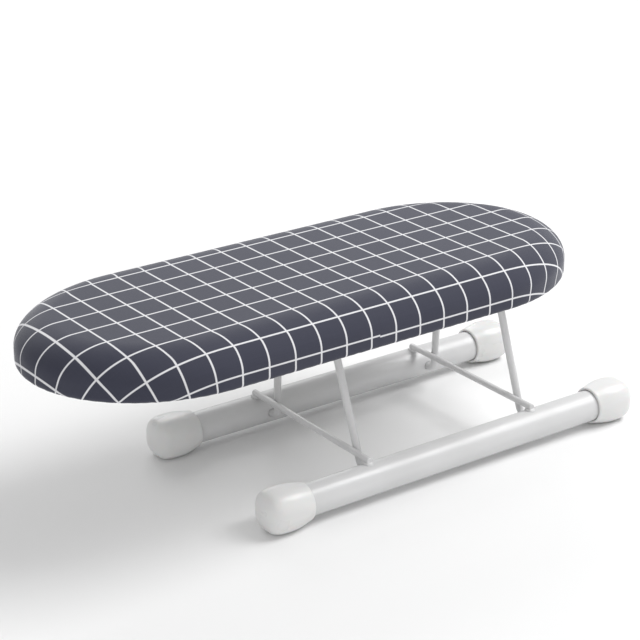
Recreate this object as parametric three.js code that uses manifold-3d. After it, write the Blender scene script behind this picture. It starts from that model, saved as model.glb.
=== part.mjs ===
// Tabletop ironing board: a padded, cloth-covered board on two bent-wire legs that fold as a parallelogram
// on a base of two foot tubes tied together by two cross rods.
// Units are millimetres. +Z is up, +X runs from the free nose to the tail, and +Y is the back.
// The origin is at floor level under the middle of the whole standing object.
import * as THREE from 'three';
import { mergeVertices } from 'three/addons/utils/BufferGeometryUtils.js';
import Module from 'manifold-3d';

const wasm = await Module();
wasm.setup();

// ---------------------------------------------------------------- driving dimensions
const GAP = 0.3; // between pieces that touch

// board outline: straight sides with elliptical ends
const BOARD_LENGTH = 464;
const BOARD_WIDTH = 187.4;
const END_LENGTH = 110.6; // length of each elliptical end
const TOP_Z = 162.2; // ironing surface above the floor
const EDGE_HEIGHT = 33.3; // ironing surface to the bottom of the covered edge
const SHOULDER_IN = 29.3; // how far in from the edge the padding starts to fall away
const SHOULDER_DOWN = 21.3;

// board layers
const CLOTH = 1.0;
const FOAM = 12.5;
const SHEET = 1.2;
const RIM_FLANGE = 9; // inward flange at the bottom of the deck's rim
const HEM_INSET = 17; // centre of the elastic hem, in from the edge
const HEM_R = 2.8;
const ELASTIC_R = 1.3;

// base
const TUBE_R = 12.5;
const TUBE_WALL = 1.2;
const TUBE_Y = 75.2;
const AXLE_Z = 16.0; // tube centres, and the lower pivots
const BASE_LENGTH = 354.4; // over the end caps
const CAP_LENGTH = 37.5;
const CAP_R = 16.4;
const CAP_RIM_R = 14.8;
const CAP_BORE_DEPTH = 31;
const ROD_R = 2.5;
const ROD_LENGTH = 152;

// legs
const WIRE_R = 3.0;
const LEG_SPACING = 159.5;
const LEAN = THREE.MathUtils.degToRad(7); // past upright, so that weight holds the legs on their stops
const TOP_HALF_SPREAD = 30.5;
const FOOT_HALF_SPREAD = 54.8;
const FOOT_END_Y = 73.2; // the wire's end inside the tube
const BEND_R = 8;

// hinge clips and rivets
const CLIP_WIDTH = 14;
const CLIP_Y = 12;
const CLIP_WING = 13.5;
const CLEARANCE = 0.4; // round the turning wire
const RIVET_X = 9.2;
const RIVET_SHANK_R = 1.5;
const RIVET_HOLE_R = 1.9;

// lengthwise places
const BOARD_X = -15.5;
const BASE_X = 70.3;
const NOSE_FOOT_X = -2.9;
const TAIL_FOOT_X = NOSE_FOOT_X + LEG_SPACING;

// worked out from the above
const DECK_TOP = TOP_Z - CLOTH - FOAM - 2 * GAP;
const DECK_BOTTOM = DECK_TOP - SHEET;
const HINGE_Z = DECK_BOTTOM - CLEARANCE - WIRE_R;
const LEG_RISE = HINGE_Z - AXLE_Z;
const LEG_SHIFT = -LEG_RISE * Math.tan(LEAN);
const EDGE_BOTTOM = TOP_Z - EDGE_HEIGHT;
const ROD_Z = AXLE_Z + TUBE_R + ROD_R + GAP;
const ROD_SHIFT = -(ROD_Z - AXLE_Z) * Math.tan(LEAN) - (ROD_R + WIRE_R + GAP) / Math.cos(LEAN);

// ---------------------------------------------------------------- materials
const finish = (color, roughness, metalness = 0) => new THREE.MeshStandardMaterial({ color, roughness, metalness });
const coverCloth = finish(0x4a4d5c, 0.9);
const foamPad = finish(0xe9e4d4, 0.95);
const whitePaint = finish(0xe6e6e6, 0.35);
const whitePlastic = finish(0xeeeeec, 0.4);
const zincSteel = finish(0xb9bdc2, 0.35, 0.9);
const elasticCord = finish(0xf2f2f2, 0.8);

// ---------------------------------------------------------------- solids
const part = new THREE.Group();

function addPiece(name, geometry, material) {
  const mesh = new THREE.Mesh(geometry, material);
  mesh.name = name;
  part.add(mesh);
  return mesh;
}

function toSolid(geometry) {
  const bare = geometry.clone();
  bare.deleteAttribute('normal');
  bare.deleteAttribute('uv');
  const merged = mergeVertices(bare, 1e-3);
  return new wasm.Manifold(new wasm.Mesh({
    numProp: 3,
    vertProperties: new Float32Array(merged.attributes.position.array),
    triVerts: new Uint32Array(merged.index.array),
  }));
}

function toGeometry(solid) {
  const mesh = solid.getMesh();
  return new THREE.BufferGeometry()
    .setAttribute('position', new THREE.BufferAttribute(new Float32Array(mesh.vertProperties), 3))
    .setIndex(new THREE.BufferAttribute(new Uint32Array(mesh.triVerts), 1));
}

// geometry with each of the cutters taken away
function cut(geometry, cutters) {
  const solid = cutters.reduce((rest, cutter) => rest.subtract(toSolid(cutter)), toSolid(geometry));
  return toGeometry(solid);
}

// upright round cutter
function drill(radius, sides, x, y, z, height) {
  return new THREE.CylinderGeometry(radius, radius, height, sides).rotateX(Math.PI / 2).translate(x, y, z);
}

// ---------------------------------------------------------------- board outline
const END_STEPS = 14;
const SHOULDER_STEPS = 7;

// points round the board's outline, moved inwards by inset along the outline's normal
function outlineRing(inset, z) {
  const straight = BOARD_LENGTH / 2 - END_LENGTH;
  const half = BOARD_WIDTH / 2;
  const points = [];
  for (const end of [1, -1]) {
    for (let i = 0; i <= END_STEPS; i++) {
      const angle = (i / END_STEPS - 0.5) * Math.PI;
      const normal = new THREE.Vector2(Math.cos(angle) / END_LENGTH, Math.sin(angle) / half).normalize();
      const x = straight + END_LENGTH * Math.cos(angle) - inset * normal.x;
      const y = half * Math.sin(angle) - inset * normal.y;
      points.push(new THREE.Vector3(BOARD_X + end * x, end * y, z));
    }
  }
  return points;
}

// A solid lofted through outline rings. The profile lists [inset, z]. With capped, its first and last rings
// are closed by a fan to the board's middle. Otherwise the profile closes on itself as a hoop.
function loftOutline(profile, capped) {
  const rings = profile.map(([inset, z]) => outlineRing(inset, z));
  const count = rings[0].length;
  const points = rings.flat();
  const faces = [];
  const last = capped ? rings.length - 1 : rings.length;
  for (let r = 0; r < last; r++) {
    const a = r * count;
    const b = ((r + 1) % rings.length) * count;
    for (let i = 0; i < count; i++) {
      const j = (i + 1) % count;
      faces.push(a + i, b + i, b + j, a + i, b + j, a + j);
    }
  }
  if (capped) {
    for (const [ring, flip] of [[0, false], [rings.length - 1, true]]) {
      const middle = points.push(new THREE.Vector3(BOARD_X, 0, rings[ring][0].z)) - 1;
      for (let i = 0; i < count; i++) {
        const pair = [ring * count + i, ring * count + (i + 1) % count];
        faces.push(middle, ...(flip ? pair.reverse() : pair));
      }
    }
  }
  return new THREE.BufferGeometry().setFromPoints(points).setIndex(faces);
}

// Quarter-ellipse shoulder as [inset, z], the padded surface moved inwards by offset. It runs from the flat
// top down to the edge, or only as far as the given depth below the flat top.
function shoulder(offset, depth = SHOULDER_DOWN - offset) {
  const reach = SHOULDER_IN - offset;
  const drop = SHOULDER_DOWN - offset;
  const lastAngle = Math.acos(1 - depth / drop);
  return Array.from({ length: SHOULDER_STEPS + 1 }, (_, i) => {
    const angle = (i / SHOULDER_STEPS) * lastAngle;
    return [offset + reach * (1 - Math.sin(angle)), TOP_Z - offset - drop * (1 - Math.cos(angle))];
  });
}

// arc as [inset, z] about a centre, from one angle to another in degrees
function arc(inset, z, radius, from, to, steps) {
  return Array.from({ length: steps + 1 }, (_, i) => {
    const angle = THREE.MathUtils.degToRad(from + (to - from) * i / steps);
    return [inset + radius * Math.cos(angle), z + radius * Math.sin(angle)];
  });
}

// ---------------------------------------------------------------- fabric cover and its elastic hem
function fabricCover() {
  const hemZ = EDGE_BOTTOM + HEM_R;
  const outside = [
    ...shoulder(0),
    [0, EDGE_BOTTOM + 4],
    [1.2, EDGE_BOTTOM + 1.2],
    [4, EDGE_BOTTOM],
    ...arc(HEM_INSET, hemZ, HEM_R, -90, 150, 7),
  ];
  const inside = [
    ...arc(HEM_INSET, hemZ, HEM_R - CLOTH, 150, -90, 6),
    [4.4, EDGE_BOTTOM + CLOTH],
    [2.1, EDGE_BOTTOM + 2],
    [CLOTH, EDGE_BOTTOM + 4.4],
    ...shoulder(CLOTH).reverse(),
  ];
  return loftOutline([...outside, ...inside], true);
}

function hemElastic() {
  return loftOutline(arc(HEM_INSET, EDGE_BOTTOM + HEM_R, ELASTIC_R, 0, 300, 5), false);
}

addPiece('fabric_cover', fabricCover(), coverCloth);
addPiece('hem_elastic', hemElastic(), elasticCord);

// ---------------------------------------------------------------- foam pad
addPiece('foam_pad', loftOutline(shoulder(CLOTH + 2 * GAP, FOAM - GAP), true), foamPad);

// ---------------------------------------------------------------- deck: pressed sheet with a flanged rim
const rivetPlaces = [];
for (const [end, footX] of [['nose', NOSE_FOOT_X], ['tail', TAIL_FOOT_X]]) {
  for (const y of [-CLIP_Y, CLIP_Y]) {
    for (const side of [-1, 1]) {
      rivetPlaces.push({ end, x: footX + LEG_SHIFT + side * RIVET_X, y });
    }
  }
}

function deckPanel() {
  const side = CLOTH + 2 * GAP + 0.4;
  const bottom = EDGE_BOTTOM + CLOTH + GAP + 0.4;
  const profile = [
    [side + 8, DECK_TOP],
    [side + 2, DECK_TOP - 1],
    [side, DECK_TOP - 4],
    [side, bottom + 3.4],
    [side + 3.2, bottom],
    [side + RIM_FLANGE, bottom],
    [side + RIM_FLANGE, bottom + SHEET],
    [side + 3.8, bottom + SHEET],
    [side + SHEET, bottom + 4],
    [side + SHEET, DECK_TOP - 4.6],
    [side + 2.8, DECK_BOTTOM - 0.9],
    [side + 8.3, DECK_BOTTOM],
  ];
  const steamHoles = [];
  const pitchX = 44;
  const pitchY = 42;
  for (let column = -4; column <= 4; column++) {
    for (const row of [-1, 0, 1]) {
      const x = BOARD_X + column * pitchX;
      const nearClip = rivetPlaces.some((place) => Math.hypot(place.x - x, place.y - row * pitchY) < 20);
      if (!nearClip) steamHoles.push(drill(5, 8, x, row * pitchY, DECK_TOP, 8));
    }
  }
  const rivetHoles = rivetPlaces.map((place) => drill(RIVET_HOLE_R, 8, place.x, place.y, DECK_TOP, 8));
  return cut(loftOutline(profile, true), [...steamHoles, ...rivetHoles]);
}

addPiece('deck_panel', deckPanel(), whitePaint);

// ---------------------------------------------------------------- hinge clips and rivets
// Saddle under the leg's top bar, with a flat wing each side against the deck.
function hingeClip(hingeX, y) {
  const inner = WIRE_R + CLEARANCE;
  const outer = inner + SHEET;
  const wingTop = DECK_BOTTOM - GAP - HINGE_Z;
  const wingBottom = wingTop - SHEET;
  const shape = new THREE.Shape();
  shape.moveTo(-CLIP_WING, wingTop);
  shape.lineTo(-CLIP_WING, wingBottom);
  shape.lineTo(-outer, wingBottom);
  shape.absarc(0, 0, outer, Math.PI, 2 * Math.PI, false);
  shape.lineTo(outer, wingBottom);
  shape.lineTo(CLIP_WING, wingBottom);
  shape.lineTo(CLIP_WING, wingTop);
  shape.lineTo(inner, wingTop);
  shape.absarc(0, 0, inner, 0, -Math.PI, true);
  shape.lineTo(-inner, wingTop);
  const strip = new THREE.ExtrudeGeometry(shape, { depth: CLIP_WIDTH, bevelEnabled: false, curveSegments: 8 })
    .rotateX(Math.PI / 2)
    .translate(hingeX, y + CLIP_WIDTH / 2, HINGE_Z);
  const holes = [-1, 1].map((side) => drill(RIVET_HOLE_R, 8, hingeX + side * RIVET_X, y, HINGE_Z, 12));
  return cut(strip, holes);
}

function rivet(x, y) {
  const headTop = DECK_BOTTOM - 2 * GAP - SHEET;
  const profile = [[0, -1.7], [1.8, -1.5], [3, -0.4], [3, 0], [RIVET_SHANK_R, 0], [RIVET_SHANK_R, 3], [0, 3]]
    .map(([r, h]) => new THREE.Vector2(r, h));
  return new THREE.LatheGeometry(profile, 8).rotateX(Math.PI / 2).translate(x, y, headTop);
}

for (const [end, footX] of [['nose', NOSE_FOOT_X], ['tail', TAIL_FOOT_X]]) {
  addPiece(`${end}_leg_clip_front`, hingeClip(footX + LEG_SHIFT, -CLIP_Y), zincSteel);
  addPiece(`${end}_leg_clip_back`, hingeClip(footX + LEG_SHIFT, CLIP_Y), zincSteel);
  rivetPlaces
    .filter((place) => place.end === end)
    .forEach((place, i) => addPiece(`${end}_clip_rivet_${i + 1}`, rivet(place.x, place.y), zincSteel));
}

// ---------------------------------------------------------------- bent-wire legs
// A centreline through corner points with rounded bends. Its stations are evenly spaced in t, so that they
// gather in the bends and leave the straights plain.
class BentWire extends THREE.Curve {
  constructor(corners, radius, bendSteps) {
    super();
    this.stations = [corners[0]];
    for (let i = 1; i < corners.length - 1; i++) {
      const before = corners[i - 1].clone().sub(corners[i]).normalize();
      const after = corners[i + 1].clone().sub(corners[i]).normalize();
      const half = before.angleTo(after) / 2;
      const reach = radius / Math.tan(half);
      const centre = before.clone().add(after).normalize().multiplyScalar(radius / Math.sin(half)).add(corners[i]);
      const start = corners[i].clone().addScaledVector(before, reach).sub(centre);
      const end = corners[i].clone().addScaledVector(after, reach).sub(centre);
      const sweep = start.angleTo(end);
      for (let s = 0; s <= bendSteps; s++) {
        const share = s / bendSteps;
        const point = start.clone().multiplyScalar(Math.sin((1 - share) * sweep))
          .addScaledVector(end, Math.sin(share * sweep))
          .divideScalar(Math.sin(sweep));
        this.stations.push(point.add(centre));
      }
    }
    this.stations.push(corners[corners.length - 1]);
  }

  getPoint(t) {
    const place = t * (this.stations.length - 1);
    const i = Math.min(Math.floor(place), this.stations.length - 2);
    return this.stations[i].clone().lerp(this.stations[i + 1], place - i);
  }

  getTangent(t) {
    const step = 0.5 / (this.stations.length - 1);
    return this.getPoint(Math.min(1, t + step)).sub(this.getPoint(Math.max(0, t - step))).normalize();
  }

  getUtoTmapping(u) {
    return u;
  }
}

function legWire(footX) {
  const corner = (side, y, top) => new THREE.Vector3(footX + (top ? LEG_SHIFT : 0), side * y, top ? HINGE_Z : AXLE_Z);
  const path = new BentWire([
    corner(-1, FOOT_END_Y, false),
    corner(-1, FOOT_HALF_SPREAD, false),
    corner(-1, TOP_HALF_SPREAD, true),
    corner(1, TOP_HALF_SPREAD, true),
    corner(1, FOOT_HALF_SPREAD, false),
    corner(1, FOOT_END_Y, false),
  ], BEND_R, 4);
  const section = new THREE.Shape().absarc(0, 0, WIRE_R, 0, 2 * Math.PI, false);
  const steps = path.stations.length - 1;
  return new THREE.ExtrudeGeometry(section, { steps, extrudePath: path, curveSegments: 8, bevelEnabled: false });
}

addPiece('nose_leg_wire', legWire(NOSE_FOOT_X), whitePaint);
addPiece('tail_leg_wire', legWire(TAIL_FOOT_X), whitePaint);

// ---------------------------------------------------------------- base: foot tubes, end caps, cross rods
function footTube(side) {
  const length = BASE_LENGTH - 2 * (CAP_LENGTH - CAP_BORE_DEPTH + GAP);
  const ring = new THREE.Shape().absarc(0, 0, TUBE_R, 0, 2 * Math.PI, false);
  ring.holes.push(new THREE.Path().absarc(0, 0, TUBE_R - TUBE_WALL, 0, 2 * Math.PI, true));
  const tube = new THREE.ExtrudeGeometry(ring, { depth: length, bevelEnabled: false, curveSegments: 20 })
    .rotateY(Math.PI / 2)
    .translate(BASE_X - length / 2, side * TUBE_Y, AXLE_Z);
  const axleHoles = [NOSE_FOOT_X, TAIL_FOOT_X].map((x) =>
    new THREE.CylinderGeometry(WIRE_R + CLEARANCE, WIRE_R + CLEARANCE, TUBE_R, 10)
      .translate(x, side * (TUBE_Y - TUBE_R), AXLE_Z));
  return cut(tube, axleHoles);
}

// A cup pushed over the tube, swelling from its rim, with a flat underneath to stand on.
function endCap(side, end) {
  const bore = TUBE_R + GAP;
  const profile = [
    [0, CAP_BORE_DEPTH],
    [bore, CAP_BORE_DEPTH],
    [bore, 0],
    [CAP_RIM_R, 0],
    [15.8, 6],
    [CAP_R, 14],
    [CAP_R, 26],
    [15, 32.5],
    [11, 36],
    [0, CAP_LENGTH],
  ].map(([r, along]) => new THREE.Vector2(r, along));
  const cup = new THREE.LatheGeometry(profile, 20)
    .rotateZ(-end * Math.PI / 2)
    .translate(BASE_X + end * (BASE_LENGTH / 2 - CAP_LENGTH), side * TUBE_Y, AXLE_Z);
  const underFloor = new THREE.BoxGeometry(2 * CAP_LENGTH, 3 * CAP_R, 10)
    .translate(BASE_X + end * BASE_LENGTH / 2, side * TUBE_Y, -5);
  return cut(cup, [underFloor]);
}

for (const [row, side] of [['front', -1], ['back', 1]]) {
  addPiece(`${row}_foot_tube`, footTube(side), whitePaint);
  addPiece(`${row}_nose_end_cap`, endCap(side, -1), whitePlastic);
  addPiece(`${row}_tail_end_cap`, endCap(side, 1), whitePlastic);
}

for (const [end, footX] of [['nose', NOSE_FOOT_X], ['tail', TAIL_FOOT_X]]) {
  const rod = new THREE.CylinderGeometry(ROD_R, ROD_R, ROD_LENGTH, 8).translate(footX + ROD_SHIFT, 0, ROD_Z);
  addPiece(`${end}_cross_rod`, rod, whitePaint);
}

export default part;
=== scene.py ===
"""Tabletop ironing board: padded, checked board on folding wire legs and a base of two foot tubes.

Sizes are in metres: +X towards the tail, +Y to the back, +Z up.
"""

import logging
import math
from dataclasses import dataclass, field
from enum import Enum
from typing import Sequence

import bmesh
import bpy
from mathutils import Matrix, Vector, noise


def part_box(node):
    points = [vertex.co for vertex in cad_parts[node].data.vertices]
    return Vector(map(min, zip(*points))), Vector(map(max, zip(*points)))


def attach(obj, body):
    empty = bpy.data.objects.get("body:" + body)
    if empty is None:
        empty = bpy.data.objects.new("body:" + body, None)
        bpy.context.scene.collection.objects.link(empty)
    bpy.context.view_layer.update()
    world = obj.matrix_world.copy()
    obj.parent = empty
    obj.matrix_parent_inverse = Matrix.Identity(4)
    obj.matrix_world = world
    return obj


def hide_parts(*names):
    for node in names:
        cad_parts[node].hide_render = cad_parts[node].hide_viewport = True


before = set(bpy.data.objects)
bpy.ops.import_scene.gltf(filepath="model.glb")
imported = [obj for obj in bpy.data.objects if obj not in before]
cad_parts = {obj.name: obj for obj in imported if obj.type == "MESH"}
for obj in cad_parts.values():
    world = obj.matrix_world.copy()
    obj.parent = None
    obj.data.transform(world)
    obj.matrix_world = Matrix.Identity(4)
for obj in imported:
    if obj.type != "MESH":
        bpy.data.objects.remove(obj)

LOG = logging.getLogger("ironing_board")
MM = 0.001
WIRE_RADIUS = 3.0 * MM
ROUND_SIDES = 28  # sides of wires, rods and rivets
LINE_BLUR = 0.22 * MM  # how soft the edges of the check's lines are
Ring = list[Vector]
Colour = tuple[float, float, float]
Place = tuple[float, float, float]
Socketed = object  # a plain value or another node's output socket


# ---- named options
class Ends(Enum):
    """How the first and last rings of a lofted piece are closed."""

    FIRST_CAPPED = "first capped"
    CAPPED = "capped"
    JOINED = "joined"


class Sign(Enum):
    """A sign along an axis, with a word for it."""

    @property
    def word(self) -> str:
        """The word that the pieces' names use."""
        return self.name.lower()


class Side(Sign):
    """Front and back of the board, as a sign along Y."""

    FRONT = -1
    BACK = 1


class Tip(Sign):
    """Nose and tail ends, as a sign along X."""

    NOSE = -1
    TAIL = 1


class Body(str, Enum):
    """The moving bodies that pieces ride on."""

    BASE = "base"
    NOSE_LEG = "nose_leg"
    TAIL_LEG = "tail_leg"
    BOARD = "board"


# ---- modelling helpers
def deselect() -> None:
    """Leave nothing selected."""
    bpy.ops.object.select_all(action="DESELECT")


def activate(piece: bpy.types.Object) -> None:
    """Make one piece the only selected and active one.

    Args:
        piece: The object to work on.
    """
    deselect()
    piece.select_set(True)
    bpy.context.view_layer.objects.active = piece


def put_ring(mesh: bpy.types.Mesh, places: Ring, number: int) -> None:
    """Move the selected ring of vertices to its places and number it.

    Args:
        mesh: The mesh in edit mode.
        places: One place for each station round the ring.
        number: The ring's number along the piece.
    """
    edit = bmesh.from_edit_mesh(mesh)
    station = edit.verts.layers.int["station"]
    ring = edit.verts.layers.int["ring"]
    for vertex in edit.verts:
        if vertex.select:
            vertex.co = places[vertex[station]]
            vertex[ring] = number
    bmesh.update_edit_mesh(mesh)


def select_rings(mesh: bpy.types.Mesh, numbers: set[int]) -> None:
    """Select only the vertices of the given rings.

    Args:
        mesh: The mesh in edit mode.
        numbers: The rings to select.
    """
    bpy.ops.mesh.select_all(action="DESELECT")
    edit = bmesh.from_edit_mesh(mesh)
    ring = edit.verts.layers.int["ring"]
    for vertex in edit.verts:
        vertex.select = vertex[ring] in numbers
    edit.select_flush(True)
    bmesh.update_edit_mesh(mesh)


def extrude_rings(name: str, rings: Sequence[Ring], ends: Ends, smooth_deg: float) -> bpy.types.Object:
    """Extrude a circle of vertices through a series of rings.

    Args:
        name: The piece's name.
        rings: The rings in order, all with the same number of places.
        ends: How the first and last rings are closed.
        smooth_deg: Edges sharper than this stay crisp.

    Returns:
        The new piece, with station and ring attributes on its vertices.
    """
    deselect()
    bpy.ops.mesh.primitive_circle_add(vertices=len(rings[0]), radius=0.01, calc_uvs=False)
    piece = bpy.context.active_object
    piece.name = piece.data.name = name
    piece.data.attributes.new("station", "INT", "POINT")
    piece.data.attributes.new("ring", "INT", "POINT")
    for index, item in enumerate(piece.data.attributes["station"].data):
        item.value = index
    bpy.ops.object.mode_set(mode="EDIT")
    bpy.ops.mesh.select_mode(type="VERT")
    bpy.ops.mesh.select_all(action="SELECT")
    put_ring(piece.data, rings[0], 0)
    for number, ring in enumerate(rings[1:], start=1):
        bpy.ops.mesh.extrude_edges_move()
        put_ring(piece.data, ring, number)
    last = len(rings) - 1
    if ends is Ends.JOINED:
        select_rings(piece.data, {0, last})
        bpy.ops.mesh.bridge_edge_loops()
    else:
        for number in (0, last) if ends is Ends.CAPPED else (0,):
            select_rings(piece.data, {number})
            bpy.ops.mesh.edge_face_add()
    bpy.ops.mesh.select_all(action="SELECT")
    bpy.ops.mesh.normals_make_consistent(inside=False)
    bpy.ops.object.mode_set(mode="OBJECT")
    smooth(piece, smooth_deg)
    return piece


def smooth(piece: bpy.types.Object, angle_deg: float) -> None:
    """Shade smooth, with crisp edges above an angle in degrees."""
    activate(piece)
    bpy.ops.object.shade_smooth_by_angle(angle=math.radians(angle_deg))


def apply_modifier(piece: bpy.types.Object, kind: str, **settings: object) -> None:
    """Add a modifier, set it and apply it.

    Args:
        piece: The object to modify.
        kind: The modifier's type.
        settings: The modifier's properties by name.
    """
    activate(piece)
    bpy.ops.object.modifier_add(type=kind)
    modifier = piece.modifiers[-1]
    for key, value in settings.items():
        setattr(modifier, key, value)
    bpy.ops.object.modifier_apply(modifier=modifier.name)


def drill(
    piece: bpy.types.Object, places: Sequence[Vector], radius: float, depth: float, tilt: float
) -> None:
    """Cut round holes through a piece.

    Args:
        piece: The piece to drill.
        places: The middle of each hole.
        radius: The holes' radius.
        depth: How deep the drill reaches, from end to end.
        tilt: The holes' turn from upright about the X axis.
    """
    deselect()
    drills = []
    for place in places:
        bpy.ops.mesh.primitive_cylinder_add(
            vertices=32, radius=radius, depth=depth, location=place, rotation=(tilt, 0, 0)
        )
        drills.append(bpy.context.active_object)
    for item in drills:
        item.select_set(True)
    bpy.ops.object.join()
    cutter = bpy.context.active_object
    apply_modifier(piece, "BOOLEAN", operation="DIFFERENCE", object=cutter, solver="EXACT")
    bpy.data.objects.remove(cutter, do_unlink=True)


def middle_of(node: str) -> Vector:
    """The middle of a node's box."""
    lo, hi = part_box(node)
    return (lo + hi) / 2


def circle(centre: Vector, across: Vector, up: Vector, radius: float, sides: int) -> Ring:
    """Places round a circle, from the unit vector across towards the unit vector up."""
    turns = (2 * math.pi * i / sides for i in range(sides))
    return [centre + (across * math.cos(a) + up * math.sin(a)) * radius for a in turns]


def turned_rings(
    profile: Sequence[tuple[float, float]], origin: Vector, along: Vector, sides: int
) -> list[Ring]:
    """Rings of a turned piece.

    Args:
        profile: Radius and distance along the axis, in order.
        origin: Where distance along is zero.
        along: Unit vector of the axis.
        sides: Places in each ring.

    Returns:
        One ring for each profile point.
    """
    helper = Vector((0, 0, 1)) if abs(along.z) < 0.9 else Vector((1, 0, 0))
    across = helper.cross(along).normalized()
    up = along.cross(across)
    return [circle(origin + along * d, across, up, max(r, 1e-5), sides) for r, d in profile]


def bent_path(corners: Sequence[Vector], radius: float, steps: int) -> list[Vector]:
    """A centreline through corners, each rounded to a radius.

    Args:
        corners: The sharp corner points.
        radius: The bend radius at the centreline.
        steps: Points in each bend.

    Returns:
        The centreline's points.
    """
    points = [corners[0]]
    for before, corner, after in zip(corners, corners[1:], corners[2:]):
        back = (before - corner).normalized()
        forward = (after - corner).normalized()
        half = back.angle(forward) / 2
        centre = corner + (back + forward).normalized() * (radius / math.sin(half))
        start = corner + back * (radius / math.tan(half)) - centre
        finish = corner + forward * (radius / math.tan(half)) - centre
        sweep = start.angle(finish)
        for i in range(steps + 1):
            share = i / steps
            toward = start * math.sin((1 - share) * sweep) + finish * math.sin(share * sweep)
            points.append(centre + toward / math.sin(sweep))
    return points + [corners[-1]]


def wire_rings(points: Sequence[Vector], radius: float, nip: float) -> list[Ring]:
    """Rings along a bent wire, with its cut ends slightly rounded.

    Args:
        points: The centreline.
        radius: The wire's radius.
        nip: How far the cut ends are rounded.

    Returns:
        The rings in order.
    """
    tangents = []
    for i in range(len(points)):
        ahead = points[min(i + 1, len(points) - 1)]
        behind = points[max(i - 1, 0)]
        tangents.append((ahead - behind).normalized())
    across = tangents[0].orthogonal().normalized()
    rings = []
    for point, tangent in zip(points, tangents):
        across = (across - tangent * across.dot(tangent)).normalized()
        rings.append(circle(point, across, tangent.cross(across), radius, ROUND_SIDES))
    first = [points[0].lerp(p, 1 - nip / radius) for p in rings[0]]
    last = [points[-1].lerp(p, 1 - nip / radius) for p in rings[-1]]
    rings[0] = [p + tangents[0] * nip for p in rings[0]]
    rings[-1] = [p - tangents[-1] * nip for p in rings[-1]]
    return [first, *rings, last]


# ---- shading helpers
class Nodes:
    """A short way to add and link shader nodes."""

    def __init__(self, tree: bpy.types.NodeTree) -> None:
        """Start on the tree of a material or group."""
        self.tree = tree

    def add(self, kind: str, inputs: dict | None = None, **settings: object) -> bpy.types.Node:
        """Add a node.

        Args:
            kind: The node's type name.
            inputs: Values or sockets by input name or number.
            settings: The node's own properties.

        Returns:
            The node.
        """
        node = self.tree.nodes.new(kind)
        for key, value in settings.items():
            setattr(node, key, value)
        self.feed(node, inputs or {})
        return node

    def feed(self, node: bpy.types.Node, inputs: dict) -> None:
        """Link or set a node's inputs.

        Args:
            node: The node.
            inputs: Values or sockets by input name or number.
        """
        for key, value in inputs.items():
            if isinstance(value, bpy.types.NodeSocket):
                self.tree.links.new(value, node.inputs[key])
            else:
                node.inputs[key].default_value = value

    def math(self, operation: str, *values: Socketed) -> bpy.types.NodeSocket:
        """Add a Math node and return its output."""
        return self.add("ShaderNodeMath", dict(enumerate(values)), operation=operation).outputs[0]

    def mix(self, factor: Socketed, first: Socketed, second: Socketed) -> bpy.types.NodeSocket:
        """Add a colour Mix node and return its output."""
        inputs = {0: factor, 6: first, 7: second}
        return self.add("ShaderNodeMix", inputs, data_type="RGBA").outputs[2]

    def ramp(
        self, value: Socketed, low: Socketed, high: Socketed, to_low: float, to_high: float
    ) -> bpy.types.NodeSocket:
        """Add a smooth Map Range node and return its output."""
        inputs = {0: value, 1: low, 2: high, 3: to_low, 4: to_high}
        return self.add("ShaderNodeMapRange", inputs, interpolation_type="SMOOTHSTEP").outputs[0]

    def group(self, tree: bpy.types.NodeTree, **inputs: Socketed) -> bpy.types.Node:
        """Add a shared group with its inputs; underscores in names stand for spaces."""
        named = {key.replace("_", " "): value for key, value in inputs.items()}
        return self.add("ShaderNodeGroup", named, node_tree=tree)

    def bump(self, height: Socketed, strength: float, depth: float) -> bpy.types.NodeSocket:
        """Add a Bump node with a depth in metres and return its output."""
        inputs = {"Strength": strength, "Distance": depth, "Height": height}
        return self.add("ShaderNodeBump", inputs).outputs[0]


def new_group(
    name: str, inputs: dict[str, float | None], outputs: Sequence[str]
) -> tuple[Nodes, dict, bpy.types.Node]:
    """Start a shared shader group.

    Args:
        name: The group's name.
        inputs: Default of each float input, or None for a vector.
        outputs: Name of each output, all masks or heights.

    Returns:
        The node helper, the given sockets by name and the group's output node.
    """
    tree = bpy.data.node_groups.new(name, "ShaderNodeTree")
    for key, value in inputs.items():
        kind = "NodeSocketVector" if value is None else "NodeSocketFloat"
        socket = tree.interface.new_socket(key, in_out="INPUT", socket_type=kind)
        if value is not None:
            socket.default_value = value
    for key in outputs:
        tree.interface.new_socket(key, in_out="OUTPUT", socket_type="NodeSocketFloat")
    nodes = Nodes(tree)
    entry = nodes.add("NodeGroupInput")
    leave = nodes.add("NodeGroupOutput")
    return nodes, {key: entry.outputs[key] for key in inputs}, leave


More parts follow.
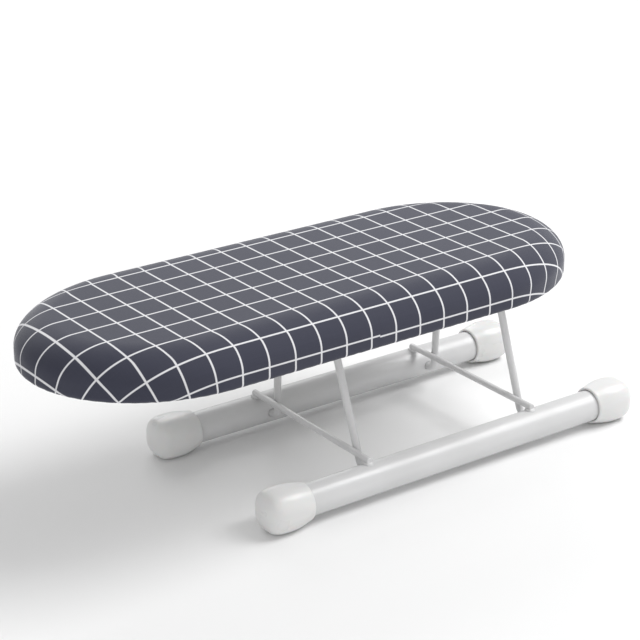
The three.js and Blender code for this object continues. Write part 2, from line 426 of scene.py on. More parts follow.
def windowpane_group() -> bpy.types.NodeTree:
    """Returns:
        The group: masks for the lines and for the cells.
    """
    sizes = {"Pitch X": 0.022, "Pitch Y": 0.025, "Offset X": 0.0, "Offset Y": 0.0, "Line": 0.0015}
    nodes, given, out = new_group("windowpane check", {"Cloth": None, **sizes}, ("Lines", "Cell"))
    place = nodes.add("ShaderNodeSeparateXYZ", {0: given["Cloth"]})
    half = nodes.math("MULTIPLY", given["Line"], 0.5)
    inner = nodes.math("SUBTRACT", half, LINE_BLUR)
    outer = nodes.math("ADD", half, LINE_BLUR)
    masks, cells = [], []
    for axis in ("X", "Y"):
        shifted = nodes.math("SUBTRACT", place.outputs[axis], given[f"Offset {axis}"])
        counted = nodes.math("DIVIDE", shifted, given[f"Pitch {axis}"])
        cells.append(nodes.math("FLOOR", counted))
        centred = nodes.math("FRACT", nodes.math("ADD", counted, 0.5))
        away = nodes.math("ABSOLUTE", nodes.math("SUBTRACT", centred, 0.5))
        distance = nodes.math("MULTIPLY", away, given[f"Pitch {axis}"])
        masks.append(nodes.ramp(distance, inner, outer, 1.0, 0.0))
    cell = nodes.add("ShaderNodeCombineXYZ", {0: cells[0], 1: cells[1]})
    tone = nodes.add("ShaderNodeTexWhiteNoise", {0: cell.outputs[0]}, noise_dimensions="2D")
    nodes.feed(out, {"Lines": nodes.math("MAXIMUM", *masks), "Cell": tone.outputs["Value"]})
    return nodes.tree


def plain_weave_group() -> bpy.types.NodeTree:
    """Build a plain weave of round threads.

    Returns:
        The group: the weave's height and the tone of each thread.
    """
    sizes = {"Pitch": 0.0005}
    nodes, given, out = new_group("plain weave", {"Cloth": None, **sizes}, ("Height", "Thread"))
    place = nodes.add("ShaderNodeSeparateXYZ", {0: given["Cloth"]})
    waves, tones = [], []
    for axis in ("X", "Y"):
        counted = nodes.math("DIVIDE", place.outputs[axis], given["Pitch"])
        turn = nodes.math("MULTIPLY", counted, math.pi)
        waves.append(nodes.math("SINE", turn))
        whole = nodes.math("FLOOR", counted)
        noise_node = nodes.add("ShaderNodeTexWhiteNoise", {1: whole}, noise_dimensions="1D")
        tones.append(noise_node.outputs["Value"])
    crossing = nodes.math("MULTIPLY", *waves)
    height = nodes.math("MULTIPLY_ADD", crossing, 0.5, 0.5)
    choice = nodes.math("GREATER_THAN", crossing, 0.0)
    over = nodes.math("MULTIPLY", tones[0], choice)
    under = nodes.math("MULTIPLY", tones[1], nodes.math("SUBTRACT", 1.0, choice))
    nodes.feed(out, {"Height": height, "Thread": nodes.math("ADD", over, under)})
    return nodes.tree


def handled_group() -> bpy.types.NodeTree:
    """Build the faint unevenness and dust of a used surface.

    Returns:
        The group: cloudy patches, fine grain and dust on upward faces.
    """
    sizes = {"Patch Scale": 18.0, "Grain Scale": 900.0}
    outputs = ("Patches", "Grain", "Dust")
    nodes, given, out = new_group("handled surface", {"Place": None, **sizes}, outputs)
    clouds = {}
    for key, scale, detail in (("Patches", "Patch Scale", 4.0), ("Grain", "Grain Scale", 2.0)):
        inputs = {"Vector": given["Place"], "Scale": given[scale], "Detail": detail}
        clouds[key] = nodes.add("ShaderNodeTexNoise", inputs).outputs[0]
    facing = nodes.add("ShaderNodeNewGeometry")
    up = nodes.add("ShaderNodeSeparateXYZ", {0: facing.outputs["Normal"]})
    upward = nodes.ramp(up.outputs["Z"], 0.3, 1.0, 0.0, 1.0)
    nodes.feed(out, {**clouds, "Dust": nodes.math("MULTIPLY", upward, clouds["Patches"])})
    return nodes.tree


class Effects:
    """The shader groups that materials share, each built once."""

    def __init__(self) -> None:
        """Build every group."""
        self.windowpane = windowpane_group()
        self.weave = plain_weave_group()
        self.handled = handled_group()


def start_material(name: str) -> tuple[bpy.types.Material, Nodes, bpy.types.Node]:
    """Start a material with an empty Principled shader.

    Args:
        name: The material's name.

    Returns:
        The material, its node helper and its Principled node.
    """
    material = bpy.data.materials.new(name)
    material.use_nodes = True
    nodes = Nodes(material.node_tree)
    return material, nodes, material.node_tree.nodes["Principled BSDF"]


def rgba(colour: Colour) -> tuple[float, float, float, float]:
    """The colour with full alpha."""
    return (*colour, 1.0)


@dataclass(frozen=True)
class CheckedCotton:
    """Woven cotton with a windowpane check, on the cloth's own flat coordinates."""

    ground: Colour = (0.034, 0.036, 0.058)
    ground_light: Colour = (0.052, 0.054, 0.078)
    line: Colour = (0.80, 0.80, 0.82)
    pitch_x: float = 22.525 * MM
    pitch_y: float = 24.87 * MM
    offset_x: float = 12.88 * MM
    offset_y: float = -11.71 * MM
    line_width: float = 1.45 * MM
    thread: float = 0.42 * MM
    thread_depth: float = 0.08 * MM
    seam_x: float = -2.0 * MM
    seam_side: float = -100.0 * MM
    seam_shift: float = 1.1 * MM
    thread_tone: float = 0.45
    thread_bump: float = 0.5
    cell_tone: float = 0.3
    # painted shade: the white lines fade to this share in the weave's hollows and lift back towards the
    # thread crests
    line_painted_hollow_shade: float = 0.86
    line_painted_shade_lift: float = 0.12
    roughness: float = 0.78
    rough_rise: float = 0.1
    specular: float = 0.35
    sheen: float = 0.35
    sheen_roughness: float = 0.4
    sheen_tint: Colour = (0.92, 0.93, 0.95)

    def build(self, effects: Effects) -> bpy.types.Material:
        """Make the material."""
        material, nodes, shader = start_material("checked cotton")
        cloth = nodes.add("ShaderNodeUVMap", uv_map="cloth")
        split = nodes.add("ShaderNodeSeparateXYZ", {0: cloth.outputs[0]})
        past_seam = nodes.math("GREATER_THAN", split.outputs["X"], self.seam_x)
        on_side = nodes.math("LESS_THAN", split.outputs["Y"], self.seam_side)
        shift = nodes.math("MULTIPLY", nodes.math("MULTIPLY", past_seam, on_side), self.seam_shift)
        lifted = nodes.math("ADD", split.outputs["Y"], shift)
        sewn = nodes.add("ShaderNodeCombineXYZ", {0: split.outputs["X"], 1: lifted})
        check = nodes.group(
            effects.windowpane,
            Cloth=sewn.outputs[0],
            Pitch_X=self.pitch_x,
            Pitch_Y=self.pitch_y,
            Offset_X=self.offset_x,
            Offset_Y=self.offset_y,
            Line=self.line_width,
        )
        weave = nodes.group(effects.weave, Cloth=cloth.outputs[0], Pitch=self.thread)
        cell = nodes.math("MULTIPLY", check.outputs["Cell"], self.cell_tone)
        tone = nodes.math("MULTIPLY_ADD", weave.outputs["Thread"], self.thread_tone, cell)
        ground = nodes.mix(tone, rgba(self.ground), rgba(self.ground_light))
        # painted shade in the weave's hollows: the lines' strength follows the weave's height
        shade = nodes.math("MULTIPLY_ADD", weave.outputs["Height"], self.line_painted_shade_lift, self.line_painted_hollow_shade)
        lines = nodes.math("MULTIPLY", check.outputs["Lines"], shade)
        rough = nodes.math("MULTIPLY_ADD", weave.outputs["Thread"], self.rough_rise, self.roughness)
        inputs = {
            "Base Color": nodes.mix(lines, ground, rgba(self.line)),
            "Roughness": rough,
            "Specular IOR Level": self.specular,
            "Sheen Weight": self.sheen,
            "Sheen Roughness": self.sheen_roughness,
            "Sheen Tint": rgba(self.sheen_tint),
            "Normal": nodes.bump(weave.outputs["Height"], self.thread_bump, self.thread_depth),
        }
        nodes.feed(shader, inputs)
        return material


@dataclass(frozen=True)
class PlainFinish:
    """Paint, plastic, plated steel, foam or cord: one surface with patches, grain and dust."""

    name: str
    colour: Colour
    worn: Colour
    roughness: float
    spread: float = 0.08
    metallic: float = 0.0
    grain_scale: float = 900.0
    grain_depth: float = 0.02 * MM
    grain_strength: float = 0.14
    patch_scale: float = 18.0
    patch_wear: float = 0.6
    dust_wear: float = 0.35
    coat: float = 0.0
    coat_roughness: float = 0.12
    subsurface: float = 0.0
    subsurface_scale: float = 2.0 * MM

    def build(self, effects: Effects) -> bpy.types.Material:
        """Make the material."""
        material, nodes, shader = start_material(self.name)
        place = nodes.add("ShaderNodeTexCoord")
        surface = nodes.group(
            effects.handled,
            Place=place.outputs["Object"],
            Patch_Scale=self.patch_scale,
            Grain_Scale=self.grain_scale,
        )
        blotch = nodes.ramp(surface.outputs["Patches"], 0.35, 0.75, 0.0, self.patch_wear)
        blend = nodes.math("MULTIPLY_ADD", surface.outputs["Dust"], self.dust_wear, blotch)
        low, high = self.roughness - self.spread, self.roughness + self.spread
        inputs = {
            "Base Color": nodes.mix(blend, rgba(self.colour), rgba(self.worn)),
            "Roughness": nodes.ramp(surface.outputs["Patches"], 0.3, 0.7, low, high),
            "Metallic": self.metallic,
            "Coat Weight": self.coat,
            "Coat Roughness": self.coat_roughness,
            "Normal": nodes.bump(surface.outputs["Grain"], self.grain_strength, self.grain_depth),
        }
        if self.subsurface:
            inputs["Subsurface Weight"] = self.subsurface
            inputs["Subsurface Scale"] = self.subsurface_scale
        nodes.feed(shader, inputs)
        return material


POWDER_COAT = PlainFinish("white powder coat", (0.66, 0.66, 0.665), (0.60, 0.60, 0.60), 0.36, coat=0.18)
DECK_PAINT = PlainFinish("deck paint", (0.74, 0.74, 0.73), (0.66, 0.66, 0.64), 0.38, coat=0.1)
CAP_PLASTIC = PlainFinish(
    "cap plastic", (0.74, 0.74, 0.735), (0.72, 0.72, 0.713), 0.3, 0.04, grain_scale=1500.0, subsurface=0.08
)
ZINC = PlainFinish(
    "zinc plate", (0.62, 0.63, 0.66), (0.48, 0.49, 0.50), 0.32, metallic=1.0, patch_scale=140.0
)
FOAM = PlainFinish(
    "open-cell foam", (0.78, 0.74, 0.62), (0.70, 0.65, 0.52), 0.95, 0.03,
    grain_scale=700.0, grain_depth=0.4 * MM,
)
ELASTIC = PlainFinish(
    "braided elastic", (0.82, 0.82, 0.80), (0.70, 0.70, 0.68), 0.8,
    grain_scale=1400.0, grain_depth=0.25 * MM,
)


@dataclass
class Assembly:
    """A group of pieces that take their materials from one set of finishes."""

    finishes: dict[str, bpy.types.Material]

    def dress(self, piece: bpy.types.Object, finish: str, slot: str, node: str = "") -> None:
        """Give a piece its material, and hide the node that it replaces.

        Args:
            piece: The finished piece.
            finish: Its material, by name.
            slot: The slot that the material fills; not used.
            node: The node that the piece replaces, if any.
        """
        piece.data.materials.append(self.finishes[finish])
        if node:
            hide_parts(node)


# ---- the board's outline
@dataclass
class Outline:
    """The board's plan shape: straight sides and elliptical ends, cut into even stations."""

    stations: int = 720
    end_length: float = 110.6 * MM
    lo: Vector = field(default_factory=lambda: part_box("fabric_cover")[0])
    hi: Vector = field(default_factory=lambda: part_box("fabric_cover")[1])
    shoulder_in: float = 29.3 * MM
    shoulder_down: float = 21.3 * MM

    def __post_init__(self) -> None:
        """Work out every station's edge place and outward normal."""
        self.centre_x = (self.lo.x + self.hi.x) / 2
        half_length = (self.hi.x - self.lo.x) / 2
        half_width = (self.hi.y - self.lo.y) / 2
        straight = half_length - self.end_length
        dense: list[tuple[Vector, Vector]] = []
        for tip in (Tip.TAIL, Tip.NOSE):
            for i in range(401):
                angle = (i / 400 - 0.5) * math.pi
                forward, aside = math.cos(angle), math.sin(angle)
                normal = Vector((forward / self.end_length, aside / half_width, 0)).normalized()
                place = Vector((straight + self.end_length * forward, half_width * aside, 0))
                dense.append((tip.value * place, tip.value * normal))
        self.edge = self._even(dense)
        self.top = self.hi.z
        self.bottom = self.lo.z

    def _even(self, dense: list[tuple[Vector, Vector]]) -> list[tuple[Vector, Vector]]:
        """Resample the outline at even steps along its length.

        Args:
            dense: Closely spaced places and normals.

        Returns:
            One place and normal for each station.
        """
        loop = dense + dense[:1]
        run = [0.0]
        for (a, _), (b, _) in zip(loop, loop[1:]):
            run.append(run[-1] + (b - a).length)
        even = []
        k = 0
        for i in range(self.stations):
            wanted = run[-1] * i / self.stations
            while run[k + 1] < wanted:
                k += 1
            share = (wanted - run[k]) / max(run[k + 1] - run[k], 1e-9)
            place = loop[k][0].lerp(loop[k + 1][0], share)
            normal = loop[k][1].lerp(loop[k + 1][1], share).normalized()
            even.append((place, normal))
        return even

    def at(self, station: int, inset: float, z: float) -> Vector:
        """A place on the ring at an inset and a height."""
        place, normal = self.edge[station]
        flat = place - normal * inset
        return Vector((flat.x + self.centre_x, flat.y, z))

    def ring(self, inset: float, z: float) -> Ring:
        """The whole ring at an inset and a height."""
        return [self.at(i, inset, z) for i in range(self.stations)]

    def shoulder(self, steps: int, offset: float, depth: float | None = None) -> list[tuple[float, float]]:
        """The padded shoulder's profile.

        Args:
            steps: How many steps down the shoulder.
            offset: How far under the outside of the cloth.
            depth: How far below the offset top it runs, or None for all the way.

        Returns:
            Inset and height of each step.
        """
        reach = self.shoulder_in - offset
        drop = self.shoulder_down - offset
        last = math.acos(1 - (drop if depth is None else depth) / drop)
        profile = []
        for i in range(steps + 1):
            angle = last * i / steps
            inset = offset + reach * (1 - math.sin(angle))
            profile.append((inset, self.top - offset - drop * (1 - math.cos(angle))))
        return profile


# ---- board: cover, hem, pad, deck
@dataclass
class PaddedBoard(Assembly):
    """The board: fabric cover with its elastic hem, foam pad and pressed deck."""

    outline: Outline = field(default_factory=Outline)
    cloth: float = 0.8 * MM
    take_up_sides: float = 0.13
    take_up_ends: float = 1.04
    tail_pull: float = 0.28
    draw_in: float = 0.026
    draw_centre: float = 45.0 * MM
    hem_inset: float = 17.0 * MM
    hem_radius: float = 2.8 * MM
    hem_lift: float = 0.3 * MM
    rim_bend: float = 4.0 * MM
    elastic_radius: float = 1.3 * MM
    gather_depth: float = 0.9 * MM
    gathers: int = 128
    deck_sheet: float = 1.2 * MM
    deck_bend: float = 6.0 * MM
    lip_bend: float = 3.0 * MM
    lip_width: float = 9.0 * MM
    hole_radius: float = 5.0 * MM
    punch_depth: float = 8.0 * MM
    hole_spacing: tuple[float, float] = (44.0 * MM, 42.0 * MM)
    clip_clearance: float = 22.0 * MM

    @property
    def hem_height(self) -> float:
        """The height of the hem roll's middle."""
        return self.outline.bottom + self.hem_radius + self.hem_lift

    def _gather(self, station: int, amount: float) -> float:
        """How far the gathered cloth puckers at a station.

        Args:
            station: The station round the outline.
            amount: From 0, smooth, to 1, fully gathered.

        Returns:
            The offset in metres.
        """
        turn = 2 * math.pi * station / self.outline.stations
        drift = noise.noise(Vector((math.cos(turn) * 4, math.sin(turn) * 4, 0.5)))
        wave = math.sin(turn * self.gathers + 5 * drift)
        wave += 0.45 * math.sin(turn * self.gathers * 0.5 + 9 * drift)
        return self.gather_depth * amount * wave * (0.75 + 0.5 * drift)

    def _cover_profile(self) -> list[tuple[float, float, float]]:
        """Inset, height and gathering of each ring, from the flat top to the rolled hem."""
        bottom = self.outline.bottom
        profile = [(inset, z, 0.0) for inset, z in self.outline.shoulder(16, 0.0)]
        side_top = profile[-1][1]
        for i in range(1, 5):
            profile.append((0.0, side_top + (bottom + self.rim_bend - side_top) * i / 4, 0.0))
        for i in range(1, 6):
            angle = math.radians(18 * i)
            inset = self.rim_bend * (1 - math.cos(angle))
            profile.append((inset, bottom + self.rim_bend * (1 - math.sin(angle)), 0.04 * i))
        for i, inset in enumerate((6.5, 9.0, 11.5, 14.0)):
            profile.append((inset * MM, bottom + self.hem_lift, 0.3 + 0.22 * i))
        for i in range(9):
            angle = math.radians(-90 + 30 * i)
            inset = self.hem_inset + self.hem_radius * math.cos(angle)
            profile.append((inset, self.hem_height + self.hem_radius * math.sin(angle), 0.9))
        return profile

    def cover(self) -> bpy.types.Object:
        """Sew the fitted cover."""
        outline = self.outline
        profile = self._cover_profile()
        rings, flats, cuts = [], [], []
        run = 0.0
        before = profile[0]
        start = profile[0][0]
        for inset, z, amount in profile:
            run += math.hypot(inset - before[0], z - before[1])
            before = (inset, z, amount)
            puckers = [self._gather(i, amount) for i in range(outline.stations)]
            rings.append([outline.at(i, inset, z + puckers[i]) for i in range(outline.stations)])
            flats.append([self._pattern(i, start, run) for i in range(outline.stations)])
            cuts.append([outline.at(i, start - run, 0.0) for i in range(outline.stations)])
        piece = extrude_rings("sewn_cover", rings, Ends.FIRST_CAPPED, 60.0)
        self._lay_flat(piece, flats)
        apply_modifier(piece, "SOLIDIFY", thickness=self.cloth, offset=-1.0)
        smooth(piece, 60.0)
        self.dress(piece, "cotton", "cover_cloth", "fabric_cover")
        flat = cuts[-1]
        length = max(p.x for p in flat) - min(p.x for p in flat)
        width = max(p.y for p in flat) - min(p.y for p in flat)
        area = abs(sum(a.x * b.y - b.x * a.y for a, b in zip(flat, flat[1:] + flat[:1]))) / 2
        LOG.info("cover cut %.3f x %.3f m, %.4f m2", length, width, area)
        self.cut = (width, length, area)
        return piece

    def _pattern(self, station: int, start: float, run: float) -> Vector:
        """Where a place on the fitted cover falls in the cloth's printed check.

        Args:
            station: The station round the outline.
            start: The inset where the shoulder starts.
            run: How far down from there, along the cloth.

        Returns:
            The place in the flat cloth. Gathering draws the check in along the sides and round the ends.
        """
        outline = self.outline
        normal = outline.edge[station][1]
        place = outline.at(station, start, 0.0)
        drawn = self.draw_in * min(1.0, run / outline.shoulder_down) * normal.y**2
        place.x += drawn * (place.x - outline.centre_x - self.draw_centre)
        place.x += normal.x * run * (self.take_up_ends + self.tail_pull * normal.x)
        place.y += normal.y * run * (1.0 + self.take_up_sides * abs(normal.y))
        return place

    def _lay_flat(self, piece: bpy.types.Object, flats: list[Ring]) -> None:
        """Give the cover the coordinates of its cloth before sewing.

        Args:
            piece: The cover.
            flats: The flat place of every ring and station.
        """
        mesh = piece.data
        station = mesh.attributes["station"].data
        ring = mesh.attributes["ring"].data
        layer = mesh.uv_layers.new(name="cloth")
        for loop in mesh.loops:
            place = flats[ring[loop.vertex_index].value][station[loop.vertex_index].value]
            layer.data[loop.index].uv = (place.x - self.outline.centre_x, place.y)

    def elastic(self) -> bpy.types.Object:
        """Thread the elastic through the hem."""
        rings = []
        for i in range(10):
            angle = 2 * math.pi * i / 10
            inset = self.hem_inset + self.elastic_radius * math.cos(angle)
            rings.append(self.outline.ring(inset, self.hem_height + self.elastic_radius * math.sin(angle)))
        piece = extrude_rings("elastic_loop", rings, Ends.JOINED, 80.0)
        self.dress(piece, "elastic", "elastic_cord", "hem_elastic")
        return piece

    def pad(self) -> bpy.types.Object:
        """Lay the foam pad."""
        lo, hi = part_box("foam_pad")
        profile = self.outline.shoulder(14, self.outline.top - hi.z, hi.z - lo.z)
        rings = [self.outline.ring(inset, z) for inset, z in profile]
        piece = extrude_rings("foam_slab", rings, Ends.CAPPED, 50.0)
        self.dress(piece, "foam", "foam", "foam_pad")
        return piece

    def deck(self) -> bpy.types.Object:
        """Press the deck, turn its rim and punch its steam holes."""
        lo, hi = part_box("deck_panel")
        side = lo.x - self.outline.lo.x
        bend, lip = self.deck_bend, self.lip_bend
        profile = [(side + 2 * bend, hi.z)]
        for angle in (math.radians(15 * i) for i in range(7)):
            profile.append((side + bend * (1 - math.sin(angle)), hi.z - bend * (1 - math.cos(angle))))
        for angle in (math.radians(18 * i) for i in range(6)):
            profile.append((side + lip * (1 - math.cos(angle)), lo.z + lip * (1 - math.sin(angle))))
        profile.append((side + self.lip_width, lo.z))
        rings = [self.outline.ring(inset, z) for inset, z in profile]
        piece = extrude_rings("pressed_deck", rings, Ends.FIRST_CAPPED, 50.0)
        apply_modifier(piece, "SOLIDIFY", thickness=self.deck_sheet, offset=-1.0)
        drill(piece, self._steam_holes(hi.z), self.hole_radius, self.punch_depth, 0.0)
        smooth(piece, 35.0)
        self.dress(piece, "deck", "white_paint", "deck_panel")
        return piece

    def _steam_holes(self, top: float) -> list[Vector]:
        """Where the rows of steam holes go, leaving out those that the hinge clips cover.

        Args:
            top: The height of the deck's upper face.

        Returns:
            The middle of each hole.
        """
        clips = [middle_of(f"{tip.word}_leg_clip_{side.word}") for tip in Tip for side in Side]
        places = []
        for column in range(-4, 5):
            for row in (-1, 0, 1):
                x = self.outline.centre_x + column * self.hole_spacing[0]
                y = row * self.hole_spacing[1]
                if all(math.hypot(clip.x - x, clip.y - y) > self.clip_clearance for clip in clips):
                    places.append(Vector((x, y, top)))
        return places

    def build(self) -> list[bpy.types.Object]:
        """Make every piece of the board."""
        cover = self.cover()
        elastic = self.elastic()
        pad = self.pad()
        deck = self.deck()
        for piece in (cover, elastic, pad, deck):
            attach(piece, Body.BOARD.value)
        return [cover, elastic, pad, deck]


# ---- hinge clips and rivets
@dataclass
class LegHinge(Assembly):
    """Two saddle clips under the deck and their rivets, for one leg."""

    tip: Tip
    sheet: float = 1.2 * MM
    clearance: float = 0.4 * MM
    head_radius: float = 3.0 * MM
    head_height: float = 1.7 * MM
    shank_radius: float = 1.5 * MM
    edge_rounding: float = 0.25 * MM

    def _clip(self, side: Side) -> bpy.types.Object:
        """Fold the clip on one side of the middle."""
        node = f"{self.tip.word}_leg_clip_{side.word}"
        lo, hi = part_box(node)
        inner = WIRE_RADIUS + self.clearance
        hinge_z = lo.z + inner + self.sheet
        outer = inner + self.sheet
        wing_low = hi.z - self.sheet
        half = (hi.x - lo.x) / 2
        turns = [math.pi * i / 16 for i in range(17)]
        section = [(-half, hi.z), (-half, wing_low), (-outer, wing_low)]
        section += [(-outer * math.cos(a), hinge_z - outer * math.sin(a)) for a in turns]
        section += [(outer, wing_low), (half, wing_low), (half, hi.z), (inner, hi.z)]
        section += [(inner * math.cos(a), hinge_z - inner * math.sin(a)) for a in turns]
        section += [(-inner, hi.z)]
        rings = [[Vector(((lo.x + hi.x) / 2 + x, y, z)) for x, z in section] for y in (lo.y, hi.y)]
        piece = extrude_rings(f"{node}_saddle", rings, Ends.CAPPED, 30.0)
        limit = {"limit_method": "ANGLE", "angle_limit": math.radians(50)}
        apply_modifier(piece, "BEVEL", width=self.edge_rounding, segments=2, **limit)
        smooth(piece, 30.0)
        self.dress(piece, "zinc", "zinc_steel", node)
        return piece

    def _rivet(self, number: int) -> bpy.types.Object:
        """Set one rivet, by its number."""
        node = f"{self.tip.word}_clip_rivet_{number}"
        lo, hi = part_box(node)
        middle = Vector(((lo.x + hi.x) / 2, (lo.y + hi.y) / 2, lo.z))
        turns = [math.radians(7.5 * i) for i in range(13)]
        dome = [(self.head_radius * math.sin(a), self.head_height * (1 - math.cos(a))) for a in turns]
        profile = [*dome, (self.shank_radius, self.head_height), (self.shank_radius, hi.z - lo.z)]
        rings = turned_rings(profile, middle, Vector((0, 0, 1)), ROUND_SIDES)
        piece = extrude_rings(f"{node}_domed", rings, Ends.CAPPED, 35.0)
        self.dress(piece, "zinc", "zinc_steel", node)
        return piece

    def build(self) -> list[bpy.types.Object]:
        """Make both clips and four rivets."""
        pieces = [self._clip(side) for side in Side]
        pieces += [self._rivet(number) for number in range(1, 5)]
        for piece in pieces:
            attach(piece, Body.BOARD.value)
        return pieces


# ---- legs
@dataclass
class WireLeg(Assembly):
    """One leg: a wire bent to an upside-down U with out-turned feet."""

    tip: Tip
    top_half_spread: float = 30.5 * MM
    foot_half_spread: float = 54.8 * MM
    bend: float = 8.0 * MM
    end_rounding: float = 0.4 * MM

    def build(self) -> list[bpy.types.Object]:
        """Bend the leg and return it alone in a list."""
        node = f"{self.tip.word}_leg_wire"
        lo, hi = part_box(node)
        foot = Vector((hi.x - WIRE_RADIUS, 0, lo.z + WIRE_RADIUS))
        top = Vector((lo.x + WIRE_RADIUS, 0, hi.z - WIRE_RADIUS))
        spreads = [(foot, hi.y), (foot, self.foot_half_spread), (top, self.top_half_spread)]
        corners = [Vector((place.x, -spread, place.z)) for place, spread in spreads]
        corners += [Vector((place.x, spread, place.z)) for place, spread in reversed(spreads)]
        points = bent_path(corners, self.bend, 12)
        rings = wire_rings(points, WIRE_RADIUS, self.end_rounding)
        piece = extrude_rings(f"{node}_bent", rings, Ends.CAPPED, 50.0)
        self.dress(piece, "paint", "white_paint", node)
        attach(piece, Body.NOSE_LEG.value if self.tip is Tip.NOSE else Body.TAIL_LEG.value)
        return [piece]


# ---- base
@dataclass
class Base(Assembly):
    """Two foot tubes with end caps, tied by two welded cross rods."""

    wall: float = 1.2 * MM
    axle_hole: float = 3.4 * MM
    rod_rounding: float = 0.35 * MM
    boxiness: float = 0.10
    boxy_from: float = 2.0 * MM
    boxy_over: float = 12.0 * MM
    weld_inward: float = 1.5 * MM
    weld_lift: float = 0.3 * MM
    weld_half: tuple[float, float] = (4.1 * MM, 4.6 * MM)
    weld_rise: float = 1.9 * MM
    weld_sink: float = 1.4 * MM
    weld_ripple: float = 0.09
    weld_beads: float = 0.04
    cap_profile: tuple[tuple[float, float], ...] = (
        (12.9, 6.0), (12.9, 0.5), (13.3, 0.0), (14.3, 0.1), (14.75, 0.5), (14.95, 1.2), (15.1, 2.6),
        (15.5, 5.5), (15.9, 9.0), (16.2, 13.0), (16.4, 17.5), (16.4, 21.5), (16.25, 25.5), (15.9, 28.9),
        (15.2, 31.6), (13.9, 33.8), (11.9, 35.4), (9.2, 36.45), (5.6, 37.1), (2.4, 37.45), (0.02, 37.5),
    )

    def _tube(self, side: Side) -> bpy.types.Object:
        """Cut the foot tube on one side and drill its axle holes."""
        node = f"{side.word}_foot_tube"
        lo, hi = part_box(node)
        radius = (hi.z - lo.z) / 2
        origin = Vector((lo.x, (lo.y + hi.y) / 2, (lo.z + hi.z) / 2))
        length = hi.x - lo.x
        profile = [(radius, 0), (radius, length), (radius - self.wall, length), (radius - self.wall, 0)]
        rings = turned_rings(profile, origin, Vector((1, 0, 0)), 72)
        piece = extrude_rings(f"{node}_drawn", rings, Ends.JOINED, 30.0)
        for tip in Tip:
            axle_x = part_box(f"{tip.word}_leg_wire")[1].x - WIRE_RADIUS
            place = Vector((axle_x, origin.y - side.value * radius, origin.z))
            drill(piece, [place], self.axle_hole, radius, math.pi / 2)
        smooth(piece, 30.0)
        self.dress(piece, "paint", "white_paint", node)
        return piece

    def _cap(self, side: Side, tip: Tip) -> bpy.types.Object:
        """Mould the end cap at one corner, with a pad underneath to stand on."""
        node = f"{side.word}_{tip.word}_end_cap"
        lo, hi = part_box(node)
        axis_z = hi.z - (hi.y - lo.y) / 2
        mouth = Vector((lo.x if tip is Tip.TAIL else hi.x, (lo.y + hi.y) / 2, axis_z))
        profile = [(r * MM, d * MM) for r, d in self.cap_profile]
        rings = turned_rings(profile, mouth, Vector((tip.value, 0, 0)), 64)
        full = max(radius for radius, _ in profile)
        for ring, (radius, along) in zip(rings, profile):
            if along < self.boxy_from:
                continue
            boxy = self.boxiness * min(1.0, (along - self.boxy_from) / self.boxy_over)
            for place in ring:
                y = (place.y - mouth.y) / radius
                z = (place.z - mouth.z) / radius
                swell = 1 + boxy * (abs(2 * y * z)) ** 1.5
                place.y = mouth.y + max(-full, min(full, y * radius * swell))
                place.z = max(lo.z, mouth.z + max(-full, min(full, z * radius * swell)))
        piece = extrude_rings(f"{node}_moulded", rings, Ends.CAPPED, 60.0)
        self.dress(piece, "plastic", "white_plastic", node)
        return piece

    def _rod(self, tip: Tip) -> bpy.types.Object:
        """Crop the cross rod at one end."""
        node = f"{tip.word}_cross_rod"
        lo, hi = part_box(node)
        radius = (hi.x - lo.x) / 2
        ends = [Vector(((lo.x + hi.x) / 2, y, (lo.z + hi.z) / 2)) for y in (lo.y, hi.y)]
        points = [ends[0], middle_of(node), ends[1]]
        rings = wire_rings(points, radius, self.rod_rounding)
        piece = extrude_rings(f"{node}_cropped", rings, Ends.CAPPED, 40.0)
        self.dress(piece, "paint", "white_paint", node)
        return piece

    def _weld(self, side: Side, tip: Tip) -> bpy.types.Object:
        """Lay the painted weld where one rod crosses one tube."""
        tube_lo, tube_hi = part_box(f"{side.word}_foot_tube")
        rod_x = middle_of(f"{tip.word}_cross_rod").x
        weld_y = (tube_lo.y + tube_hi.y) / 2 - side.value * self.weld_inward
        middle = Vector((rod_x, weld_y, tube_hi.z + self.weld_lift))
        deselect()
        bpy.ops.mesh.primitive_uv_sphere_add(segments=32, ring_count=16, radius=1.0, location=(0, 0, 0))
        piece = bpy.context.active_object
        piece.name = piece.data.name = f"{side.word}_{tip.word}_rod_weld"
        for vertex in piece.data.vertices:
            place = vertex.co
            ripple = 1 + self.weld_ripple * noise.noise(place * 2.3 + middle * 300)
            ripple += self.weld_beads * math.sin(place.y * 16)
            x = place.x * self.weld_half[0] * ripple
            y = place.y * self.weld_half[1] * ripple
            z = place.z * (self.weld_rise if place.z > 0 else self.weld_sink) * ripple
            drop = y**2 / (tube_hi.z - tube_lo.z)
            vertex.co = middle + Vector((x, y, z - drop))
        smooth(piece, 80.0)
        self.dress(piece, "paint", "white_paint")
        return piece

    def build(self) -> list[bpy.types.Object]:
        """Make every piece of the base."""
        pieces = [self._tube(side) for side in Side]
        pieces += [self._cap(side, tip) for side in Side for tip in Tip]
        pieces += [self._rod(tip) for tip in Tip]
        pieces += [self._weld(side, tip) for side in Side for tip in Tip]
        for piece in pieces:
            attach(piece, Body.BASE.value)
        return pieces


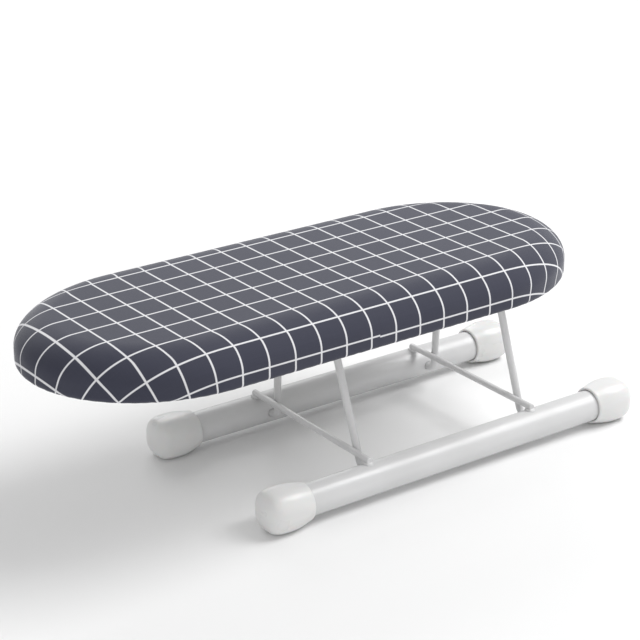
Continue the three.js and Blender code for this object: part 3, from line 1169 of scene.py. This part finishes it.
# ---- studio
@dataclass(frozen=True)
class Studio:
    """Floor, lights and camera."""

    eye: Place = (-0.8025, -1.1042, 0.6790)
    back: Place = (-0.5430, -0.7482, 0.3812)
    lens: float = 110.1
    sensor_width: float = 36.0
    clip: tuple[float, float] = (0.05, 60.0)
    floor_colour: Colour = (0.86, 0.86, 0.86)
    floor_size: float = 30.0
    floor_drop: float = 0.2 * MM
    lights: tuple[tuple[str, Place, float, float], ...] = (
        ("key", (1.3, -0.5, 1.7), 1.3, 36.0),
        ("fill", (-1.5, -1.3, 1.0), 1.8, 9.0),
        ("rim", (0.6, 1.8, 1.2), 1.4, 14.0),
    )
    aim: Place = (0.0, 0.0, 0.08)
    sky_strength: float = 0.5

    def _floor(self, effects: Effects) -> None:
        """Roll out the floor."""
        deselect()
        bpy.ops.mesh.primitive_plane_add(size=self.floor_size, location=(0, 0, -self.floor_drop))
        floor = bpy.context.active_object
        floor.name = "studio_floor"
        finish = PlainFinish("studio floor", self.floor_colour, self.floor_colour, 0.9, 0.02)
        material = finish.build(effects)
        nodes = Nodes(material.node_tree)
        shader = material.node_tree.nodes["Principled BSDF"]
        side = nodes.add("ShaderNodeNewGeometry")
        clear = nodes.add("ShaderNodeBsdfTransparent")
        inputs = {0: side.outputs["Backfacing"], 1: shader.outputs[0], 2: clear.outputs[0]}
        seen = nodes.add("ShaderNodeMixShader", inputs)
        nodes.feed(material.node_tree.nodes["Material Output"], {"Surface": seen.outputs[0]})
        floor.data.materials.append(material)

    def _light(self, name: str, place: Place, size: float, power: float) -> None:
        """Hang one soft light aimed at the board.

        Args:
            name: The light's name.
            place: Where it hangs.
            size: Its side in metres.
            power: Its power in watts.
        """
        deselect()
        bpy.ops.object.light_add(type="AREA", location=place)
        light = bpy.context.active_object
        light.name = name
        light.data.size = size
        light.data.energy = power
        toward = Vector(self.aim) - Vector(place)
        light.rotation_euler = toward.to_track_quat("-Z", "Y").to_euler()

    def _camera(self) -> None:
        """Set up the camera."""
        bpy.ops.object.camera_add(location=self.eye)
        camera = bpy.context.active_object
        camera.rotation_euler = (-Vector(self.back).normalized()).to_track_quat("-Z", "Y").to_euler()
        camera.data.lens = self.lens
        camera.data.sensor_width = self.sensor_width
        camera.data.clip_start, camera.data.clip_end = self.clip
        bpy.context.scene.camera = camera

    def build(self, effects: Effects) -> None:
        """Set the whole studio."""
        self._floor(effects)
        for light in self.lights:
            self._light(*light)
        world = bpy.data.worlds.new("studio")
        world.use_nodes = True
        sky = {"Color": (1.0, 1.0, 1.0, 1.0), "Strength": self.sky_strength}
        Nodes(world.node_tree).feed(world.node_tree.nodes["Background"], sky)
        bpy.context.scene.world = world
        bpy.context.scene.view_settings.view_transform = "Standard"
        self._camera()


def main() -> None:
    """Build the ironing board and its studio."""
    logging.basicConfig(level=logging.INFO, format="%(name)s: %(message)s")
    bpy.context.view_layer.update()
    effects = Effects()
    finishes = {
        "cotton": CheckedCotton().build(effects),
        "paint": POWDER_COAT.build(effects),
        "deck": DECK_PAINT.build(effects),
        "plastic": CAP_PLASTIC.build(effects),
        "zinc": ZINC.build(effects),
        "foam": FOAM.build(effects),
        "elastic": ELASTIC.build(effects),
    }
    Studio().build(effects)
    assemblies = [PaddedBoard(finishes)]
    assemblies += [kind(finishes, tip) for kind in (LegHinge, WireLeg) for tip in Tip]
    assemblies += [Base(finishes)]
    for assembly in assemblies:
        for piece in assembly.build():
            LOG.info("made %s, %d faces", piece.name, len(piece.data.polygons))


if __name__ == "__main__":
    main()
